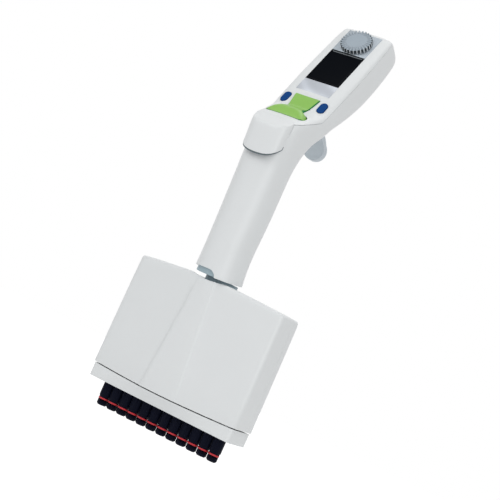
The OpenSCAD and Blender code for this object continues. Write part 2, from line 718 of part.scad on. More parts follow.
block_half = row_w / 2 + piston_r + 0.9;
module cylinder_block() color("lightgray") difference() {
    union() {
        translate([-block_half, -6, block_z]) cube([2 * block_half, 12, block_top - seal_h - block_z]);
        for (x = [-1, 1]) translate([x * (block_half + 0.5) - 1.5, -6, guide_z + guide_t]) cube([3, 12, block_top - seal_h - guide_z - guide_t]);
    }
    for (x = channel_x) translate([x, 0, 0]) {
        translate([0, 0, block_z + floor_t]) cylinder(r = piston_r + slip, h = 100);
        cylinder(d = cone_bore, h = 100);
    }
}

module piston_seals() color("black") difference() {
    translate([-block_half, -6, block_top - seal_h]) cube([2 * block_half, 12, seal_h]);
    for (x = channel_x) translate([x, 0, 0]) cylinder(r = piston_r + 0.02, h = 200);
}

module piston_carrier() color("gray") difference() {
    translate([-block_half, -carrier_half_y, carrier_z]) cube([2 * block_half, 2 * carrier_half_y, carrier_t]);
    for (x = channel_x) translate([x, 0, carrier_z - 1]) cylinder(r = 2, h = 4);
}

module pistons() color("silver") for (x = channel_x) translate([x, 0, 0]) {
    translate([0, 0, block_top - seal_h - 0.5]) cylinder(r = piston_r, h = carrier_z - block_top + seal_h + 0.5);
    translate([0, 0, carrier_z - 1]) cylinder(r = 2, h = 4);
}

guide_half = housing_w / 2 - housing_wall - 1.5;
guide_y0 = -housing_front + housing_wall + 1;
guide_y1 = housing_back - housing_wall;
module cone_guide() color("lightgray") difference() {
    translate([0, (guide_y0 + guide_y1) / 2, guide_z]) linear_extrude(guide_t)
        round_rect(2 * guide_half, guide_y1 - guide_y0, max(housing_corner - housing_wall, 1));
    for (x = channel_x) translate([x, 0, 0]) cylinder(d = cone_stem_d + 2 * slip, h = 100);
    push_rods(push_rod_d / 2 + slip);
}

module push_rods(r) for (x = [-1, 1]) translate([x * push_rod_x, push_rod_y, skirt_z0 + stripper_t])
    cylinder(r = r, h = frame_z - skirt_z0 - stripper_t);

module cone_springs() color("silver") for (x = channel_x) translate([x, 0, shoulder_z]) difference() {
    cylinder(r = 3.4, h = guide_z - shoulder_z);
    translate([0, 0, -1]) cylinder(r = cone_stem_d / 2 + gap, h = 20);
}

module ejector_frame() color("gray") difference() {
    union() {
        translate([-push_rod_x - push_rod_d, -5, frame_z]) cube([2 * push_rod_x + 2 * push_rod_d, 5 + push_rod_y + push_rod_d / 2 + 0.6, frame_t]);
        translate([0, 0, frame_z]) cylinder(r = sleeve_r, h = sleeve_top - frame_z);
        push_rods(push_rod_d / 2);
    }
    translate([0, 0, frame_z - 1]) cylinder(r = screw_r + gap, h = 100);
}

// Skirt round the cones, with the stripper plate that pushes the tips off
skirt_inset = 0.8;
skirt_w = housing_w - 2;
skirt_y0 = -housing_front + skirt_inset;
skirt_y1 = housing_back - 0.4;
skirt_r = housing_corner - 0.6;

// Front of the skirt, flat at its lower edge and following the housing at its upper one
function skirt_front(x, d, top) = let (r = max(skirt_r - d, 1), m = skirt_w / 2 - d - r)
    x > m ? skirt_y0 + d + r - sqrt(max(r * r - (x - m) * (x - m), 0)) : top ? front_y(x, 0, 0) + skirt_inset + d : skirt_y0 + d;
function skirt_back(x, d) = let (r = max(skirt_r - d, 1), m = skirt_w / 2 - d - r)
    x > m ? skirt_y1 - d - r + sqrt(max(r * r - (x - m) * (x - m), 0)) : skirt_y1 - d;
function skirt_ring(d, top, z) = let (r = max(skirt_r - d, 1), m = skirt_w / 2 - d - r, c = panel_bottom)
    let (h = concat([0, c, c + crease_w], [for (k = [1:3]) c + (m - c) * k / 3], [for (a = [30, 60, 90]) m + r * sin(a)]), n = len(h) - 1)
    let (xs = concat([for (i = [n:-1:1]) -h[i]], h))
    concat([for (i = [0:2 * n]) [xs[i], skirt_front(abs(xs[i]), d, top), top ? low_z(xs[i]) - skirt_gap + z : z]],
        [for (i = [2 * n:-1:0]) [xs[i], skirt_back(abs(xs[i]), d), top ? low_z(xs[i]) - skirt_gap + z : z]]);

module ejector_skirt() color("whitesmoke") difference() {
    strip_loft([skirt_ring(0, false, skirt_z0), skirt_ring(0, true, 0)]);
    strip_loft([skirt_ring(skirt_wall, false, skirt_z0 + stripper_t), skirt_ring(skirt_wall, true, 1)]);
    for (x = channel_x) translate([x, 0, 0]) cylinder(d = cone_d + 0.5, h = 50);
}

// ---------- tip cones ----------

module tip_cone(i) color("black") translate([channel_x[i], 0, 0]) difference() {
    union() {
        cylinder(d1 = cone_d - 2 * cone_lead, d2 = cone_d, h = cone_lead);
        translate([0, 0, cone_lead]) cylinder(d = cone_d, h = shoulder_z - cone_lead);
        translate([0, 0, shoulder_z]) cylinder(d = cone_stem_d, h = guide_z + guide_t + 1.4 - shoulder_z);
        translate([0, 0, guide_z + guide_t]) cylinder(d = cone_stem_d + 1.8, h = 1.4);
    }
    translate([0, 0, -1]) cylinder(d = cone_bore, h = 60);
    ring_shape();
}

module ring_shape() translate([0, 0, ring_z]) rotate_extrude() translate([cone_d / 2 + ring_proud - ring_t / 2, 0]) circle(ring_t / 2);

module o_ring(i) color("red") translate([channel_x[i], 0, 0]) ring_shape();

// ---------- parts ----------

function two_digits(i) = str(i < 9 ? "0" : "", i + 1);
cone_names = [for (i = [0:channels - 1]) str("tip_cone_", two_digits(i))];
ring_names = [for (i = [0:channels - 1]) str("o_ring_", two_digits(i))];

handle_body();
face_cover();
battery_door();
finger_hook();
display_window();
upper_trim();
lower_trim();
display_module();
main_board();
tact_switches();
battery_pack();
dial_encoder();
menu_dial();
pipetting_rocker();
rocker_pin();
left_key();
right_key();
ejector_key();
ejector_rod();
ejector_spring();
drive_motor();
motor_bracket();
drive_screw();
swivel_bush();
coupling_neck();
ejector_frame();
front_housing();
rear_housing();
housing_screws();
cylinder_block();
piston_seals();
piston_carrier();
pistons();
cone_guide();
cone_springs();
ejector_skirt();
for (i = [0:channels - 1]) tip_cone(i);
for (i = [0:channels - 1]) o_ring(i);
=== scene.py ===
import json
import math
import bpy
from mathutils import Matrix, Vector


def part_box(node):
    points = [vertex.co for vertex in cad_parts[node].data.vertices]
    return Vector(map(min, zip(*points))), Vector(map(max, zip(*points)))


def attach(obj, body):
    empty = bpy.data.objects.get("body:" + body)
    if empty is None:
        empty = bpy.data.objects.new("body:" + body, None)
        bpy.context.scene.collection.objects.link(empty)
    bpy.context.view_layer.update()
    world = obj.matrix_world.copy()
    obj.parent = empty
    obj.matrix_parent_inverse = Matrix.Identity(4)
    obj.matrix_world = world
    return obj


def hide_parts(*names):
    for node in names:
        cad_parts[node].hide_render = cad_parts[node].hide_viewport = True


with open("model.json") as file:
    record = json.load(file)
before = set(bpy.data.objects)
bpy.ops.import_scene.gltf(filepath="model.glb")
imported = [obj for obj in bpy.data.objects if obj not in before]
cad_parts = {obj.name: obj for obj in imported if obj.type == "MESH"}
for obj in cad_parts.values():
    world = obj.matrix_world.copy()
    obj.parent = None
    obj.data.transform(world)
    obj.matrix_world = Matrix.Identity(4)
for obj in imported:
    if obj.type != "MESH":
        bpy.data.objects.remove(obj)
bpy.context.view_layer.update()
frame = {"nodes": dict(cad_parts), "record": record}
nodes = frame["nodes"]
bpy.ops.object.select_all(action="DESELECT")
print("stage: frame loaded")

# lengths are in metres and angles in degrees, here and in the pieces below
cameraSet = {
    "azimuth": 30.18, "elevation": -1.685, "roll": 24.18, "distance": 0.9617, "target": (0, 0, 0.1161),
    "lens": 99.06, "sensor": 36, "shift": (0.0547, 0.061), "clip": (0.01, 50),
}


def placeCamera():
    c = cameraSet
    az, el, roll = (math.radians(c[k]) for k in ("azimuth", "elevation", "roll"))
    back = Vector((math.sin(az) * math.cos(el), -math.cos(az) * math.cos(el), math.sin(el)))
    side = Vector((math.cos(az), math.sin(az), 0))
    up = back.cross(side)
    right = side * math.cos(roll) + up * math.sin(roll)
    top = up * math.cos(roll) - side * math.sin(roll)
    bpy.ops.object.camera_add()
    camera = bpy.context.object
    camera.name = "camera"
    turned = Matrix((right, top, back)).transposed().to_4x4()
    camera.matrix_world = Matrix.Translation(Vector(c["target"]) + back * c["distance"]) @ turned
    camera.data.lens = c["lens"]
    camera.data.sensor_width = c["sensor"]
    camera.data.shift_x, camera.data.shift_y = c["shift"]
    camera.data.clip_start, camera.data.clip_end = c["clip"]
    bpy.context.scene.camera = camera


placeCamera()


class Wire:  # a shader socket that can be used in sums
    def __init__(self, bench, socket):
        self.bench, self.socket = bench, socket

    def __add__(self, other):
        return self.bench.maths("ADD", self, other)

    def __radd__(self, other):
        return self.bench.maths("ADD", other, self)

    def __mul__(self, other):
        return self.bench.maths("MULTIPLY", self, other)

    def __rmul__(self, other):
        return self.bench.maths("MULTIPLY", other, self)

    def __pow__(self, other):
        return self.bench.maths("POWER", self, other)

    def orElse(self, other):
        return self.bench.maths("MAXIMUM", self, other)


class Bench:  # one material, or the world, while it is being wired
    def __init__(self, owner, ending="ShaderNodeOutputMaterial"):
        self.owner = owner
        owner.use_nodes = True
        self.tree = owner.node_tree
        self.tree.nodes.clear()
        self.output = self.tree.nodes.new(ending)

    def node(self, kind, settings=None, inputs=None):
        made = self.tree.nodes.new(kind)
        for key, value in (settings or {}).items():
            setattr(made, key, value)
        for key, value in (inputs or {}).items():
            socket = made.inputs[key]
            if isinstance(value, Wire):
                value = value.socket
            if isinstance(value, bpy.types.NodeSocket):
                self.tree.links.new(value, socket)
            else:
                socket.default_value = value
        return made

    def maths(self, operation, a, b):
        return Wire(self, self.node("ShaderNodeMath", {"operation": operation}, {0: a, 1: b}).outputs[0])

    def place(self):  # position on the object, in metres
        return self.node("ShaderNodeTexCoord").outputs["Object"]

    def noise(self, scale, detail=3.0, rough=0.5):
        inputs = {"Vector": self.place(), "Scale": scale, "Detail": detail, "Roughness": rough}
        return Wire(self, self.node("ShaderNodeTexNoise", inputs=inputs).outputs["Fac"])

    def mixColour(self, amount, a, b):
        return self.node("ShaderNodeMix", {"data_type": "RGBA"}, {0: amount, 6: a, 7: b}).outputs[2]

    def bump(self, height, distance, strength):
        inputs = {"Height": height, "Distance": distance, "Strength": strength}
        return self.node("ShaderNodeBump", inputs=inputs).outputs[0]

    def seenDirectly(self):  # 1 for rays from the camera, a glossy surface or glass
        path = self.node("ShaderNodeLightPath")
        seen = Wire(self, path.outputs["Is Camera Ray"])
        return seen.orElse(path.outputs["Is Glossy Ray"]).orElse(path.outputs["Is Transmission Ray"])

    def skin(self, **inputs):
        names = {"colour": "Base Color", "rough": "Roughness", "metal": "Metallic", "normal": "Normal",
                 "specular": "Specular IOR Level"}
        made = self.node("ShaderNodeBsdfPrincipled", inputs={names[k]: v for k, v in inputs.items()})
        self.finish(made.outputs[0])
        return self.owner

    def finish(self, socket):
        self.tree.links.new(socket, self.output.inputs["Surface"])


floorSet = {"size": 14, "height": -0.32, "colour": (0.86, 0.86, 0.86, 1), "glow": 0.75}


def addFloor():
    f = floorSet
    bpy.ops.mesh.primitive_plane_add(size=f["size"], location=(0, 0, f["height"]))
    floor = bpy.context.object
    floor.name = "studioFloor"
    bench = Bench(bpy.data.materials.new("studioFloorPaint"))
    strength = bench.seenDirectly() * f["glow"]
    matt = bench.node("ShaderNodeBsdfDiffuse", inputs={"Color": f["colour"]})
    glow = bench.node("ShaderNodeEmission", inputs={"Color": (1, 1, 1, 1), "Strength": strength})
    both = bench.node("ShaderNodeAddShader", inputs={0: matt.outputs[0], 1: glow.outputs[0]})
    bench.finish(both.outputs[0])
    floor.data.materials.append(bench.owner)


lightSet = {
    "key": {"spot": (-0.9, -1.7, 1.5), "aim": (0, 0, 0.16), "size": 1.4, "watts": 13.2},
    "side": {"spot": (1.6, -1.25, 0.5), "aim": (0, 0, 0.16), "size": 1.2, "watts": 10.5},
    "top": {"spot": (0.1, 0.3, 2.2), "aim": (0, 0, 0.2), "size": 1.6, "watts": 9},
}
worldSet = {"seen": 1.0, "ambient": 0.46}


def addLights():
    for name, l in lightSet.items():
        bpy.ops.object.light_add(type="AREA", location=l["spot"])
        lamp = bpy.context.object
        lamp.name = name + "Light"
        lamp.data.size = l["size"]
        lamp.data.energy = l["watts"]
        aim = Vector(l["aim"]) - Vector(l["spot"])
        lamp.rotation_euler = aim.to_track_quat("-Z", "Y").to_euler()
    bench = Bench(bpy.data.worlds.new("studioWorld"), "ShaderNodeOutputWorld")
    bpy.context.scene.world = bench.owner
    inputs = {"Value": bench.seenDirectly(), "To Min": worldSet["ambient"], "To Max": worldSet["seen"]}
    level = bench.node("ShaderNodeMapRange", inputs=inputs).outputs["Result"]
    back = bench.node("ShaderNodeBackground", inputs={"Color": (1, 1, 1, 1), "Strength": level})
    bench.finish(back.outputs[0])
    bpy.context.scene.view_settings.view_transform = "Standard"


# what all plastics share: the scale of grain, clouds and smears, and how far the two spread the roughness
plasticCommon = {"grain": 2600, "depth": 0.00001, "bump": 0.5, "grainSpread": 0.05, "clouds": 45, "smooth": 2,
                 "smears": 18, "smearSpread": 0.04, "metal": 0.0, "specular": 0.5}
streakSet = {"Scale": 22.0, "Distortion": 3.0, "Detail": 1.0, "Detail Scale": 0.6}
streakPower = 3

# drift is how far the colour wanders over the piece, and sweep how much lighter its streaks are
plasticSet = {
    "shell_white": {"colour": (0.785, 0.808, 0.817), "rough": 0.36, "drift": 0.015, "depth": 0.000012},
    # painted shade: the hook is of the shell's white plastic, and its darker, bluer grey is the shade it lies
    # in
    "hook_grey": {"colour": (0.535, 0.595, 0.64), "rough": 0.34, "drift": 0.02},
    "panel_silver": {"colour": (0.37, 0.42, 0.465), "rough": 0.36, "drift": 0.04, "grain": 5200,
                     "metal": 0.35},
    "band_silver": {"colour": (0.48, 0.51, 0.56), "rough": 0.34, "drift": 0.05, "grain": 5200, "metal": 0.25,
                    "sweep": 1.22},
    "dial_silver": {"colour": (0.34, 0.40, 0.455), "rough": 0.30, "drift": 0.03, "grain": 4200, "metal": 0.3},
    # painted highlight: a lighter copy of the dial's silver for the outer faces of the teeth
    "dial_rim_highlight": {"colour": (0.80, 0.84, 0.87), "rough": 0.26, "drift": 0.03, "grain": 4200, "metal": 0.2},
    # painted shade and painted reflection: dark grey for the dial's notch walls, and for the streak on the
    # display lens's upper step
    "painted_gap_shade_and_glint": {"colour": (0.055, 0.07, 0.08), "rough": 0.4, "drift": 0.05, "grain": 4200},
    # painted shade: a darker copy of the dial's silver for the flutes
    "dial_flute_shade": {"colour": (0.305, 0.36, 0.41), "rough": 0.34, "drift": 0.04, "grain": 4200},
    # painted shade: a darker green for the rocker's steep side walls
    "rocker_side_shade": {"colour": (0.03, 0.32, 0.07), "rough": 0.36, "drift": 0.03, "grain": 3000,
                    "depth": 0.000014},
    "rocker_green": {"colour": (0.26, 0.54, 0.085), "rough": 0.28, "drift": 0.03, "grain": 3000,
                     "depth": 0.000014},
    "key_blue": {"colour": (0.010, 0.062, 0.23), "rough": 0.45, "drift": 0.05, "grain": 3000,
                 "specular": 0.03},
    "cone_black": {"colour": (0.004, 0.005, 0.013), "rough": 0.42, "drift": 0.1, "grain": 3600,
                   "specular": 0.035},
    "frame_grey": {"colour": (0.30, 0.32, 0.35), "rough": 0.5, "drift": 0.04, "depth": 0.00002},
    "collar_dark": {"colour": (0.09, 0.12, 0.135), "rough": 0.5, "drift": 0.04, "depth": 0.000015},
    "collar_grey": {"colour": (0.34, 0.44, 0.49), "rough": 0.42, "drift": 0.04, "depth": 0.000015},
    "piston_grey": {"colour": (0.60, 0.62, 0.64), "rough": 0.4, "drift": 0.03},
    "board_green": {"colour": (0.02, 0.17, 0.07), "rough": 0.4, "drift": 0.15, "grain": 1800,
                    "depth": 0.00002},
    "battery_blue": {"colour": (0.05, 0.15, 0.38), "rough": 0.3, "drift": 0.05, "grain": 900,
                     "depth": 0.00003},
}


def driftColours(colour, drift):  # a darker and a lighter neighbour of a colour
    return [tuple(min(1, c * factor) for c in colour) + (1,) for factor in (1 - drift, 1 + drift)]


def plastic(name):
    p = {**plasticCommon, **plasticSet[name]}
    bench = Bench(bpy.data.materials.new(name))
    clouds = bench.noise(p["clouds"], p["smooth"])
    grain = bench.noise(p["grain"], p["smooth"])
    colour = bench.mixColour(clouds, *driftColours(p["colour"], p["drift"]))
    if "sweep" in p:  # broad lighter streaks that curve across the sheet
        streaks = bench.node("ShaderNodeTexWave", {"wave_type": "BANDS", "bands_direction": "DIAGONAL"},
                             {"Vector": bench.place(), **streakSet})
        light = tuple(min(1, c * p["sweep"]) for c in p["colour"]) + (1,)
        colour = bench.mixColour(Wire(bench, streaks.outputs["Fac"]) ** streakPower, colour, light)
    rough = p["rough"] - p["smearSpread"] + grain * p["grainSpread"]
    rough += bench.noise(p["smears"]) * p["smearSpread"]
    return bench.skin(colour=colour, rough=rough, metal=p["metal"], specular=p["specular"],
                      normal=bench.bump(grain, p["depth"], p["bump"]))


glassSet = {"smears": 60, "detail": 4, "roughness": 0.6, "dark": (0.002, 0.003, 0.005, 1),
            "light": (0.004, 0.005, 0.007, 1), "rough": 0.14, "spread": 0.08, "specular": 0.012}


def windowGlass():
    g = glassSet
    bench = Bench(bpy.data.materials.new("window_black"))
    smear = bench.noise(g["smears"], g["detail"], g["roughness"])
    return bench.skin(colour=bench.mixColour(smear, g["dark"], g["light"]),
                      rough=g["rough"] + smear * g["spread"], specular=g["specular"])


rubberCommon = {"grain": 1800, "depth": 0.00002, "bump": 0.5, "clouds": 90, "drift": 0.1, "spread": 0.1}
rubberSet = {
    "ring_red": {"colour": (0.50, 0.012, 0.022), "rough": 0.4},
    "seal_black": {"colour": (0.02, 0.02, 0.022), "rough": 0.55},
}


def rubber(name):
    r = {**rubberCommon, **rubberSet[name]}
    bench = Bench(bpy.data.materials.new(name))
    grain = bench.noise(r["grain"])
    colour = bench.mixColour(bench.noise(r["clouds"]), *driftColours(r["colour"], r["drift"]))
    return bench.skin(colour=colour, rough=r["rough"] + grain * r["spread"],
                      normal=bench.bump(grain, r["depth"], r["bump"]))


steelSet = {"colour": (0.62, 0.63, 0.65, 1), "rough": 0.22, "spread": 0.16, "depth": 0.00001, "bump": 0.4,
            "stretch": (1, 1, 40), "marks": 120.0, "detail": 3.0}


def turnedSteel():
    s = steelSet
    bench = Bench(bpy.data.materials.new("steel"))
    lines = bench.node("ShaderNodeMapping", inputs={"Vector": bench.place(), "Scale": s["stretch"]})
    inputs = {"Vector": lines.outputs[0], "Scale": s["marks"], "Detail": s["detail"]}
    marks = Wire(bench, bench.node("ShaderNodeTexNoise", inputs=inputs).outputs["Fac"])
    return bench.skin(colour=s["colour"], metal=1.0, rough=s["rough"] + marks * s["spread"],
                      normal=bench.bump(marks, s["depth"], s["bump"]))


materials = {name: plastic(name) for name in plasticSet}
materials["window_black"] = windowGlass()
for rubberName in rubberSet:
    materials[rubberName] = rubber(rubberName)
materials["steel"] = turnedSteel()

addFloor()
addLights()
print("stage: studio and materials ready")

slotOf = {s["node"]: s["material_slot"] for s in frame["record"]["subparts"]}
bodyOf = {n: b for b, group in frame["record"]["behaviour"]["bodies"].items() for n in group}
for nodeName, cadNode in nodes.items():
    cadNode.data.materials.clear()
    cadNode.data.materials.append(materials[slotOf[nodeName]])


def pick(thing):
    bpy.ops.object.select_all(action="DESELECT")
    thing.select_set(True)
    bpy.context.view_layer.objects.active = thing


def editing(on):
    bpy.ops.object.mode_set(mode="EDIT" if on else "OBJECT")


def selectWhere(piece, kind, test):  # picks points, edges or faces by place, and stays in edit mode
    editing(True)
    bpy.ops.mesh.select_mode(type=kind)
    bpy.ops.mesh.select_all(action="DESELECT")
    editing(False)
    mesh = piece.data
    found = 0
    for part in {"VERT": mesh.vertices, "EDGE": mesh.edges, "FACE": mesh.polygons}[kind]:
        part.select = test(part)
        found += part.select
    editing(True)
    return found


def addModifier(piece, kind, **settings):
    pick(piece)
    bpy.ops.object.modifier_add(type=kind)
    modifier = piece.modifiers[-1]
    for key, value in settings.items():
        setattr(modifier, key, value)
    bpy.ops.object.modifier_apply(modifier=modifier.name)


def roundEdges(piece, width, segments, angle):
    addModifier(piece, "BEVEL", width=width, segments=segments, limit_method="ANGLE",
                angle_limit=math.radians(angle))


def smoothBelow(piece, angle):
    pick(piece)
    bpy.ops.object.shade_smooth_by_angle(angle=math.radians(angle))


def settle(piece, nodeName, stands=True):  # joins a finished piece to its body, and hides the node it stands in for
    pick(piece)
    bpy.ops.object.transform_apply(location=True, rotation=True, scale=True)
    if stands:
        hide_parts(nodeName)
    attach(piece, bodyOf[nodeName])
    return piece


mergeWithin = 0.000004


def copyOf(nodeName, name):  # merged copy of a node, left selected in edit mode
    piece = nodes[nodeName].copy()
    piece.data = nodes[nodeName].data.copy()
    piece.name = name
    piece.parent = None
    bpy.context.scene.collection.objects.link(piece)
    piece.hide_viewport = piece.hide_render = False
    piece.hide_set(False)
    pick(piece)
    editing(True)
    bpy.ops.mesh.select_all(action="SELECT")
    bpy.ops.mesh.remove_doubles(threshold=mergeWithin)
    return piece


def skinCopy(nodeName):  # stand-in for a node
    piece = copyOf(nodeName, nodeName + "_skin")
    editing(False)
    return settle(piece, nodeName)


# flat: joins faces this close to level; quad angles: how readily triangles pair up;
# groove: width of the fine line at the seams
roundSet = {"flat": 0.05, "quadFace": 14, "quadShape": 70, "sharp": 33, "levels": 2, "groove": 0.00012,
            "grooveSharp": 38, "segments": 2}


def holdEdges(piece, test, value):  # creases the edges that pass the test, given both ends
    def passes(edge):
        return test(*(piece.data.vertices[i].co for i in edge.vertices))
    found = selectWhere(piece, "EDGE", passes)
    if found:
        bpy.ops.transform.edge_crease(value=value)
    editing(False)
    return found


def roundedSkin(nodeName, hold=None, groove=roundSet["groove"], shape=None):  # curved, with cut edges kept
    r = roundSet
    piece = skinCopy(nodeName)
    editing(True)
    bpy.ops.mesh.select_all(action="SELECT")
    bpy.ops.mesh.dissolve_limited(angle_limit=math.radians(r["flat"]))
    bpy.ops.mesh.quads_convert_to_tris(quad_method="BEAUTY", ngon_method="BEAUTY")
    bpy.ops.mesh.tris_convert_to_quads(face_threshold=math.radians(r["quadFace"]),
                                       shape_threshold=math.radians(r["quadShape"]))
    bpy.ops.mesh.select_mode(type="EDGE")
    bpy.ops.mesh.select_all(action="DESELECT")
    bpy.ops.mesh.edges_select_sharp(sharpness=math.radians(r["sharp"]))
    bpy.ops.transform.edge_crease(value=1)
    editing(False)
    if hold:
        print(nodeName, "edges held:", holdEdges(piece, *hold))
    if shape:
        shape(piece)
    addModifier(piece, "SUBSURF", levels=r["levels"], render_levels=r["levels"])
    roundEdges(piece, groove, r["segments"], r["grooveSharp"])
    smoothBelow(piece, r["sharp"])


edgedSet = {"flat": 0.1, "sharp": 30, "smooth": 35}


def edgedSkin(nodeName, width, segments):  # stand-in whose edges are rounded
    piece = skinCopy(nodeName)
    editing(True)
    bpy.ops.mesh.select_all(action="SELECT")
    bpy.ops.mesh.dissolve_limited(angle_limit=math.radians(edgedSet["flat"]))
    editing(False)
    roundEdges(piece, width, segments, edgedSet["sharp"])
    smoothBelow(piece, edgedSet["smooth"])


# the long front corners of the stem, held so that they stay firmer than the rest
stemSet = {"cornerX": (0.0128, 0.0158), "cornerY": (-0.0222, -0.0175), "top": 0.205, "long": 0.002,
           "hold": 0.75}


def stemCorner(p, q):
    s = stemSet
    (x0, x1), (y0, y1) = s["cornerX"], s["cornerY"]
    atCorner = all(x0 < abs(v.x) < x1 and y0 < v.y < y1 and v.z < s["top"] for v in (p, q))
    return atCorner and abs(p.z - q.z) > s["long"]


# corner and knee are (y, z) places on the parting line between cover and body
seamSet = {"open": 0.0004, "corner": (-0.0265, 0.2305), "knee": (-0.00109, 0.24288), "lean": 31.5,
           "near": 0.00006}


def openSeam(piece):  # draws the cover back from the body, so that the parting shows as a fine gap
    lean = math.radians(seamSet["lean"])
    out = Vector((0, -math.cos(lean), math.sin(lean)))
    corner, knee = (Vector((0,) + seamSet[k]) for k in ("corner", "knee"))
    run = (knee - corner).normalized()
    side = Vector((0, -run.z, run.y))
    for point in piece.data.vertices:
        flat = Vector((0, point.co.y, point.co.z))
        onFoot = abs((flat - corner) @ side) < seamSet["near"] and (flat - knee) @ run < 0
        onSide = abs((flat - knee) @ out) < seamSet["near"] and (flat - knee) @ run > 0
        if onFoot or onSide:
            point.co += out * seamSet["open"]


keySet = {"wall": -0.0245, "open": 0.0008, "near": 0.00006, "groove": 0.0003}


def openKey(piece):  # brings the key's back edge off the wall behind it
    for point in piece.data.vertices:
        if abs(point.co.y - keySet["wall"]) < keySet["near"]:
            point.co.y -= keySet["open"]


roundedSkin("handle_body", hold=(stemCorner, stemSet["hold"]))
roundedSkin("face_cover", shape=openSeam)
roundedSkin("battery_door")
roundedSkin("ejector_key", groove=keySet["groove"], shape=openKey)

keyShadowLipSet = {"drop": 0.0010, "back": 0.0002, "narrow": 0.985, "top": 0.215}


def keyShadowLip():  # painted shadow: a dark copy of the key, lowered and set back, that shows under the key's lower edge as its shadow gap
    k = keyShadowLipSet
    shadowLip = copyOf("ejector_key", "ejector_key_shadow_lip")
    bpy.ops.transform.resize(value=(k["narrow"], 1, 1), center_override=(0, 0, 0))
    bpy.ops.transform.translate(value=(0, k["back"], -k["drop"]))
    bpy.ops.mesh.bisect(plane_co=(0, 0, k["top"]), plane_no=(0, 0, 1), clear_outer=True, use_fill=True)
    editing(False)
    shadowLip.data.materials.clear()
    shadowLip.data.materials.append(materials["collar_dark"])
    settle(shadowLip, "ejector_key", stands=False)


keyShadowLip()
print("stage: handle shells rounded")

# top, bottom: half widths of the middle panel at the heights high and low; front: y before which it lies;
# before, reach: how far the crease may lie in or out of the panel's line; over: where the step starts
panelSet = {"top": 0.0065, "bottom": 0.015, "low": 0.0278, "high": 0.1112, "front": -0.017, "before": 0.0004,
            "reach": 0.0018, "long": 0.001, "hold": 0.95, "edge": 0.0002, "rise": 0.0003, "over": 0.0009,
            "narrow": 0.0009}


def panelLine(z):
    share = (z - panelSet["low"]) / (panelSet["high"] - panelSet["low"])
    return panelSet["bottom"] + (panelSet["top"] - panelSet["bottom"]) * share


def panelCrease(p, q):
    def near(v):
        return v.y < panelSet["front"] and -panelSet["before"] < abs(v.x) - panelLine(v.z) < panelSet["reach"]
    return near(p) and near(q) and abs(p.z - q.z) > panelSet["long"]


def narrowStep(piece):  # the panel stands a little prouder, and the step on its left is a fine line
    s = panelSet
    for point in piece.data.vertices:
        if point.co.y >= s["front"]:
            continue
        if abs(point.co.x) < panelLine(point.co.z) + s["edge"]:
            point.co.y -= s["rise"]
        if s["over"] < -point.co.x - panelLine(point.co.z) < s["reach"]:
            point.co.x += s["narrow"]


for nodeName in ("front_housing", "rear_housing", "ejector_skirt"):
    roundedSkin(nodeName, hold=(panelCrease, panelSet["hold"]), shape=narrowStep)
print("stage: lower shells rounded")

# width of the rounded edge and its segments
smallSet = {
    "finger_hook": (0.0023, 6), "left_key": (0.0007, 4), "right_key": (0.0007, 4), "lower_trim": (0.00012, 2),
    "upper_trim": (0.00012, 2), "coupling_neck": (0.0003, 2), "swivel_bush": (0.0003, 2),
}
for nodeName, (width, segments) in smallSet.items():
    edgedSkin(nodeName, width, segments)
print("stage: small pieces edged")

# the operating face, on which x runs across, y along and z outwards
faceSet = {"foot": (0, -0.0092, 0.2373), "lean": 31.5}
faceTurn = Matrix.Rotation(math.radians(90 - faceSet["lean"]), 4, "X")
faceFrame = Matrix.Translation(faceSet["foot"]) @ faceTurn


def seatOnFace(piece, across, along, height):
    piece.matrix_world = faceFrame @ Matrix.Translation((across, along, height))


def onFace(point):
    return faceFrame.inverted() @ point


def faceReach(points):  # the lowest and the highest place of some points, measured on the face
    places = [onFace(v.co) for v in points]
    return [Vector([end(p[i] for p in places) for i in range(3)]) for end in (min, max)]


def middleOf(nodeName):
    low, high = (Vector(c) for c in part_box(nodeName))
    return (low + high) / 2


lookingUp = 0.9  # a face whose normal rises more than this is on top

# cuts: points of the outline for each tooth, of which the first two lie in the notch;
# topShare: share of the height, from the middle, above which a point is on top;
# wall: a face whose normal rises less than this is a side
dialSet = {"teeth": 28, "cuts": 4, "radius": 0.0118, "foot": 0.0004, "height": 0.0033, "notch": 0.885,
           "rim": 0.0006, "flute": 0.0038, "fluteDepth": 0.0009, "dish": 0.003, "dishDepth": 0.0002,
           "topShare": 0.4, "wall": 0.3, "edge": 0.00012, "segments": 2, "sharp": 28, "smooth": 25}
dialCoats = ("dial_silver", "dial_rim_highlight", "painted_gap_shade_and_glint", "dial_flute_shade")


